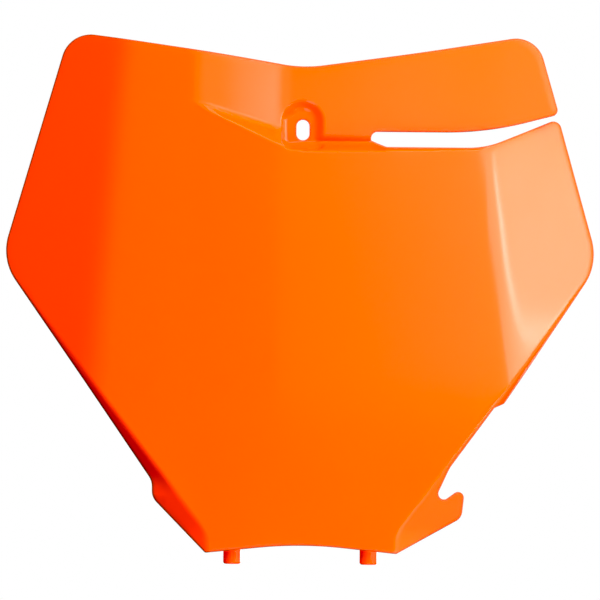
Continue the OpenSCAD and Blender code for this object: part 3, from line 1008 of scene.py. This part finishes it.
@dataclass(frozen=True)
class GlossPlastic:
    """Glossy moulded plastic, coloured through, with painted shade along the rim."""

    name: str = "gloss_orange_plastic"
    colour: tuple[float, float, float] = (1.0, 0.051, 0.0)
    deep_colour: tuple[float, float, float] = (0.98, 0.0485, 0.0)
    # Painted shade along the rim: a dark brown colour there, made rougher and less glossy, so that the rim
    # reads as a dark line.
    rim_shade_colour: tuple[float, float, float] = (0.20, 0.038, 0.006)
    rim_shade_dull: float = 0.45
    rim_shade_gloss: float = -0.45
    roughness: float = 0.11
    ripple: float = 0.05
    ripple_scale: float = 420.0
    ripple_depth: float = 0.0002
    haze_scale: float = 38.0
    ior: float = 1.49
    gloss: float = 0.5

    def skin_group(self) -> bpy.types.ShaderNodeTree:
        """Builds the moulded skin: a faint ripple as height, and fine wear that dulls the gloss.

        Returns:
            The node group, which puts out a height, a roughness and a mottle.
        """
        group = bpy.data.node_groups.new("moulded_skin", "ShaderNodeTree")
        for label, default in (("Ripple Scale", self.ripple_scale), ("Dull", 0.04)):
            socket = group.interface.new_socket(name=label, in_out="INPUT", socket_type="NodeSocketFloat")
            socket.default_value = default
        for label in ("Height", "Roughness", "Mottle"):
            group.interface.new_socket(name=label, in_out="OUTPUT", socket_type="NodeSocketFloat")
        nodes, link = group.nodes, group.links.new
        given, result = nodes.new("NodeGroupInput"), nodes.new("NodeGroupOutput")
        place = nodes.new("ShaderNodeTexCoord")
        ripple = nodes.new("ShaderNodeTexNoise")
        ripple.inputs["Detail"].default_value = 2.0
        link(place.outputs["Object"], ripple.inputs["Vector"])
        link(given.outputs["Ripple Scale"], ripple.inputs["Scale"])
        link(ripple.outputs["Fac"], result.inputs["Height"])
        haze = nodes.new("ShaderNodeTexNoise")
        haze.inputs["Scale"].default_value = self.haze_scale
        haze.inputs["Detail"].default_value = 6.0
        haze.inputs["Roughness"].default_value = 0.65
        link(place.outputs["Object"], haze.inputs["Vector"])
        spread = nodes.new("ShaderNodeMapRange")
        spread.inputs["From Min"].default_value = 0.35
        spread.inputs["From Max"].default_value = 0.75
        spread.inputs["To Min"].default_value = self.roughness - 0.03
        link(haze.outputs["Fac"], spread.inputs["Value"])
        top = nodes.new("ShaderNodeMath")
        top.operation = "ADD"
        top.inputs[0].default_value = self.roughness
        link(given.outputs["Dull"], top.inputs[1])
        link(top.outputs["Value"], spread.inputs["To Max"])
        link(spread.outputs["Result"], result.inputs["Roughness"])
        link(haze.outputs["Fac"], result.inputs["Mottle"])
        return group

    def build(self) -> bpy.types.Material:
        """Builds the material round the moulded skin, with painted shade along the rim.

        Returns:
            The material.
        """
        material = bpy.data.materials.new(self.name)
        material.use_nodes = True
        nodes, link = material.node_tree.nodes, material.node_tree.links.new
        shader = nodes["Principled BSDF"]
        shader.inputs["IOR"].default_value = self.ior
        skin = nodes.new("ShaderNodeGroup")
        skin.node_tree = self.skin_group()
        # The rim attribute masks the painted shade along the rim.
        rim = nodes.new("ShaderNodeAttribute")
        rim.attribute_name = "rim"
        dull, gloss = nodes.new("ShaderNodeMath"), nodes.new("ShaderNodeMath")
        for step, change in ((dull, self.rim_shade_dull), (gloss, self.rim_shade_gloss)):
            step.operation = "MULTIPLY_ADD"
            link(rim.outputs["Fac"], step.inputs[0])
            step.inputs[1].default_value = change
        link(skin.outputs["Roughness"], dull.inputs[2])
        gloss.inputs[2].default_value = self.gloss
        link(dull.outputs["Value"], shader.inputs["Roughness"])
        link(gloss.outputs["Value"], shader.inputs["Specular IOR Level"])
        # The mottle varies the orange at random; the painted shade then darkens it to brown along the rim.
        mottled, rim_shaded = nodes.new("ShaderNodeMix"), nodes.new("ShaderNodeMix")
        mottled.data_type = rim_shaded.data_type = "RGBA"
        mottled.inputs["A"].default_value = (*self.colour, 1.0)
        mottled.inputs["B"].default_value = (*self.deep_colour, 1.0)
        rim_shaded.inputs["B"].default_value = (*self.rim_shade_colour, 1.0)
        link(skin.outputs["Mottle"], mottled.inputs["Factor"])
        link(mottled.outputs["Result"], rim_shaded.inputs["A"])
        link(rim.outputs["Fac"], rim_shaded.inputs["Factor"])
        link(rim_shaded.outputs["Result"], shader.inputs["Base Color"])
        bump = nodes.new("ShaderNodeBump")
        bump.inputs["Strength"].default_value = self.ripple
        bump.inputs["Distance"].default_value = self.ripple_depth
        link(skin.outputs["Height"], bump.inputs["Height"])
        link(bump.outputs["Normal"], shader.inputs["Normal"])
        return material


# Studio


@dataclass(frozen=True)
class Lamp:
    """Rectangular soft light at an azimuth to the right of the camera and an elevation above it."""

    name: str
    azimuth: float
    elevation: float
    reach: float
    width: float
    height: float
    power: float
    mirrors: bool = False


@dataclass
class Studio:
    """White floor, soft lights and the camera that the photograph's view asks for.

    The curves of the light card are glow against degrees round the card, and the edges of its lit part and
    of its streak are degrees against height.
    """

    target: tuple[float, float, float] = (-0.00135, -0.0159, -0.0828)
    field_w: float = 0.2916
    distance: float = 6.0
    yaw: float = 2.2
    roll: float = 0.45
    floor_z: float = -0.45
    floor_r: float = 1.6
    floor_glow: float = 0.45
    card_x: float = 0.10
    card_r: float = 0.50
    card_from: float = -12.0
    card_to: float = 116.0
    card_low: float = -0.62
    card_high: float = 0.30
    card_faint: Curve = ((-9.0, 0.7), (3.0, 1.02), (9.0, 1.3), (30.0, 1.6))
    card_upper: Curve = ((-2.0, 0.0), (2.0, 0.25), (8.0, -0.3), (10.5, 0.8), (17.0, 2.2), (28.0, 2.7))
    card_edge: Curve = ((-0.113, 38.0), (-0.090, 31.0), (-0.058, 24.0), (-0.045, 16.0), (-0.005, 22.0))
    card_lit: Curve = ((18.0, 3.6), (36.0, 4.4), (58.0, 6.0), (80.0, 6.1), (84.0, 0.2))
    card_end: float = 80.0
    edge_w: float = 2.5
    streak_lean: Curve = (
        (-0.076, 84.0),
        (-0.068, 74.0),
        (-0.058, 64.0),
        (-0.047, 57.0),
        (-0.035, 51.0),
        (-0.015, 49.0),
        (0.0, 44.0),
    )
    card_foot: float = 0.74
    lobes: tuple[tuple[tuple[float, float, float], float], ...] = (
        ((0.0, -0.70, 0.70), 1.8),
        ((0.06, -0.74, -0.67), 2.5),
    )
    lobe_from: float = 0.84
    lobe_full: float = 0.99
    room_grey: float = 0.30
    room_gloss: float = 0.02
    toe: float = 0.03
    streak_near_w: float = 4.4
    streak_far_w: float = 7.15
    streak_glow: float = 7.5
    streak_z: float = 0.03
    streak_fade: float = 0.04
    faint_base: float = 1.1
    faint_rise: float = 2.5
    upper_z: float = -0.02
    upper_w: float = 0.03
    lit_dim: float = 0.10
    lit_dim_z: float = -0.03
    lit_dim_w: float = 0.05
    top_dim: float = 0.30
    top_dim_w: float = 0.08
    top_fade: float = 0.12
    foot_z: float = -0.17
    foot_fade: float = 0.05
    foot_from: float = 25.0
    foot_turn: float = 20.0
    lamps: tuple[Lamp, ...] = (
        Lamp("softbox_low_right", 50.0, -32.0, 0.60, 0.40, 0.40, 7.2),
        Lamp("front_low", 0.0, -14.0, 1.20, 0.60, 0.40, 6.0),
        Lamp("side_right", 70.0, -20.0, 0.45, 0.30, 0.25, 0.45),
        Lamp("key_top_right", 48.0, 42.0, 0.65, 0.50, 0.50, 15.2),
        Lamp("fill_top_left", -28.0, 45.0, 1.20, 0.60, 0.60, 12.6),
        Lamp("back_left", -145.0, 35.0, 0.90, 1.20, 0.90, 15.0),
        Lamp("back_right", 150.0, 12.0, 0.90, 0.50, 0.90, 8.0, mirrors=True),
    )

    def floor(self) -> bpy.types.Object:
        """Lays a round plain floor of pale matt card.

        Returns:
            The floor.
        """
        count = 96
        angle = np.arange(count) * 2.0 * math.pi / count
        level = np.full(count, self.floor_z)
        ring = np.stack([self.floor_r * np.cos(angle), self.floor_r * np.sin(angle), level], axis=1)
        points = np.concatenate([ring, [[0.0, 0.0, self.floor_z]]])
        here = np.arange(count)
        faces = np.stack([here, (here + 1) % count, np.full(count, count)], axis=1)
        piece = make_mesh("studio_floor", points, faces)
        card = bpy.data.materials.new("pale_card")
        card.use_nodes = True
        shader = card.node_tree.nodes["Principled BSDF"]
        for label, value in (
            ("Base Color", (0.9, 0.9, 0.9, 1.0)),
            ("Roughness", 0.9),
            ("Emission Color", (1.0, 1.0, 1.0, 1.0)),
            ("Emission Strength", self.floor_glow),
        ):
            shader.inputs[label].default_value = value
        piece.data.materials.append(card)
        piece.visible_glossy = piece.visible_diffuse = False
        return piece

    def light(self) -> None:
        """Hangs the lamps, all turned to the plate."""
        centre = Vector(self.target)
        for lamp in self.lamps:
            a, e = math.radians(lamp.azimuth), math.radians(lamp.elevation)
            away = Vector((math.sin(a) * math.cos(e), -math.cos(a) * math.cos(e), math.sin(e)))
            data = bpy.data.lights.new(lamp.name, "AREA")
            data.shape = "RECTANGLE"
            data.size, data.size_y = lamp.width, lamp.height
            data.energy = lamp.power
            item = bpy.data.objects.new(lamp.name, data)
            item.location = centre + away * lamp.reach
            item.rotation_euler = (-away).to_track_quat("-Z", "Y").to_euler()
            item.visible_camera = False
            item.visible_glossy = lamp.mirrors
            bpy.context.collection.objects.link(item)

    def card_glow(self, degrees: Array, height: Array) -> Array:
        """Works out how brightly the light card glows.

        A faint glow rises with the angle as far as a curved edge, past which the card is lit. A bell-shaped
        streak is added, narrower before its middle than after it. The whole is dimmed above the plate, and
        gives way to the even glow of the foot below it.

        Args:
            degrees: Angle round the card, from straight ahead to the right.
            height: Height.

        Returns:
            The glow.
        """
        faint = np.interp(degrees, *zip(*self.card_faint))
        upper = np.interp(degrees, *zip(*self.card_upper))
        edge = np.interp(height, *zip(*self.card_edge))
        level = np.interp(degrees, *zip(*self.card_lit))
        glow = faint * (self.faint_base + self.faint_rise * height)
        glow += upper * smooth_step((height - self.upper_z) / self.upper_w)
        level *= 1.0 - self.lit_dim * smooth_step((self.lit_dim_z - height) / self.lit_dim_w)
        glow += (level - glow) * smooth_step((degrees - edge) / self.edge_w + 0.5)
        ahead = degrees - np.interp(height, *zip(*self.streak_lean))
        width = np.where(ahead < 0.0, self.streak_near_w, self.streak_far_w)
        bell = np.exp(-((ahead / width) ** 2)) * smooth_step((self.streak_z - height) / self.streak_fade)
        glow += self.streak_glow * bell * (degrees < self.card_end)
        glow *= 1.0 - self.top_dim * smooth_step(height / self.top_dim_w)
        glow *= smooth_step((self.card_high - height) / self.top_fade)
        above = smooth_step((height - self.foot_z) / self.foot_fade)
        foot = self.card_foot * smooth_step((degrees - self.foot_from) / self.foot_turn)
        return glow * above + foot * (1.0 - above)

    def card(self) -> bpy.types.Object:
        """Hangs the curved light card that the gloss mirrors, to the right of the plate.

        The card is a part of an upright cylinder round the right crease, as x plus the radius times the
        sine and minus the cosine of the angle. Only mirrored rays see it.

        Returns:
            The card.
        """
        sweep = np.radians(np.linspace(self.card_from, self.card_to, 257))
        angle, height = np.meshgrid(sweep, np.linspace(self.card_low, self.card_high, 185))
        x, y = self.card_x + self.card_r * np.sin(angle), -self.card_r * np.cos(angle)
        points = np.stack([x, y, height], axis=2)
        rows, columns = angle.shape
        i, j = np.meshgrid(np.arange(columns - 1), np.arange(rows - 1))
        a = j * columns + i
        faces = np.stack([a, a + 1, a + 1 + columns, a + columns], axis=2).reshape(-1, 4)
        piece = make_mesh("light_card", points.reshape(-1, 3), faces)
        glow = self.card_glow(np.degrees(angle), height).ravel().astype(np.float32)
        piece.data.attributes.new("glow", "FLOAT", "POINT").data.foreach_set("value", glow)
        lit = bpy.data.materials.new("lit_card")
        lit.use_nodes = True
        nodes, link = lit.node_tree.nodes, lit.node_tree.links.new
        nodes.remove(nodes["Principled BSDF"])
        shade, level = nodes.new("ShaderNodeEmission"), nodes.new("ShaderNodeAttribute")
        level.attribute_name = "glow"
        link(level.outputs["Fac"], shade.inputs["Strength"])
        link(shade.outputs["Emission"], nodes["Material Output"].inputs["Surface"])
        piece.data.materials.append(lit)
        piece.visible_camera = piece.visible_diffuse = piece.visible_shadow = False
        return piece

    def lobe_sum(self, nodes: bpy.types.Nodes, link: Linker) -> bpy.types.NodeSocket:
        """Adds up the soft lobes of the room that the gloss mirrors.

        A lobe rises with the dot product of its direction and the ray's, on top of a very dim room.

        Args:
            nodes: Nodes of the world.
            link: Joins an output to an input.

        Returns:
            The socket that puts out the brightness.
        """
        place = nodes.new("ShaderNodeTexCoord")
        total = None
        for direction, strength in self.lobes:
            aim = nodes.new("ShaderNodeVectorMath")
            aim.operation = "DOT_PRODUCT"
            aim.inputs[1].default_value = Vector(direction).normalized()
            link(place.outputs["Generated"], aim.inputs[0])
            lobe = nodes.new("ShaderNodeMapRange")
            lobe.inputs["From Min"].default_value = self.lobe_from
            lobe.inputs["From Max"].default_value = self.lobe_full
            lobe.inputs["To Max"].default_value = strength
            link(aim.outputs["Value"], lobe.inputs["Value"])
            add = nodes.new("ShaderNodeMath")
            add.inputs[1].default_value = self.room_gloss
            link(lobe.outputs["Result"], add.inputs[0])
            if total is not None:
                link(total, add.inputs[1])
            total = add.outputs["Value"]
        return total

    def world(self) -> None:
        """Sets the white that the camera sees, and the dim grey room that lights and mirrors in the plate."""
        world = bpy.data.worlds.new("studio_white")
        bpy.context.scene.world = world
        world.use_nodes = True
        nodes, link = world.node_tree.nodes, world.node_tree.links.new
        room = nodes["Background"]
        room.inputs["Color"].default_value = (self.room_grey, self.room_grey, self.room_grey, 1.0)
        mirrored, seen = nodes.new("ShaderNodeBackground"), nodes.new("ShaderNodeBackground")
        link(self.lobe_sum(nodes, link), mirrored.inputs["Color"])
        seen.inputs["Color"].default_value = (1.0, 1.0, 1.0, 1.0)
        path = nodes.new("ShaderNodeLightPath")
        last = room.outputs["Background"]
        for ray, shade in (("Is Glossy Ray", mirrored), ("Is Camera Ray", seen)):
            mix = nodes.new("ShaderNodeMixShader")
            link(path.outputs[ray], mix.inputs["Fac"])
            link(last, mix.inputs[1])
            link(shade.outputs["Background"], mix.inputs[2])
            last = mix.outputs["Shader"]
        link(last, nodes["World Output"].inputs["Surface"])

    def camera(self) -> None:
        """Sets a long lens square in front of the plate, with the photograph's slight turn and roll."""
        data = bpy.data.cameras.new("camera")
        data.sensor_width = 36.0
        data.lens = 36.0 * self.distance / self.field_w
        data.clip_end = 50.0
        item = bpy.data.objects.new("camera", data)
        yaw = math.radians(self.yaw)
        item.location = Vector(self.target) + self.distance * Vector((-math.sin(yaw), -math.cos(yaw), 0.0))
        level = Euler((math.radians(90.0), 0.0, -yaw)).to_matrix()
        tilt = Euler((0.0, 0.0, math.radians(self.roll))).to_matrix()
        item.rotation_euler = (level @ tilt).to_euler()
        bpy.context.collection.objects.link(item)
        bpy.context.scene.camera = item

    def build(self) -> None:
        """Builds the whole studio and sets how its colours are shown."""
        self.floor()
        self.light()
        self.card()
        self.world()
        self.camera()
        view = bpy.context.scene.view_settings
        view.view_transform = "Standard"
        view.look = "None"
        view.use_curve_mapping = True
        view.curve_mapping.black_level = (self.toe, self.toe, self.toe)
        view.curve_mapping.update()


def main() -> None:
    """Builds the plate, its pegs and the studio, and notes each piece."""
    logging.basicConfig(level=logging.INFO, format="%(message)s")
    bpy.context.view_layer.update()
    form = SheetForm(Outline())
    plastic = GlossPlastic().build()
    pieces = [Plate(form).build(), *(Peg(form.seat_depth, side).build() for side in Side)]
    for piece in pieces:
        piece.data.materials.append(plastic)
        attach(piece, "root")
        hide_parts(NODE)
        LOG.info("%s: %d points, %d faces", piece.name, len(piece.data.vertices), len(piece.data.polygons))
    Studio().build()


if __name__ == "__main__":
    main()
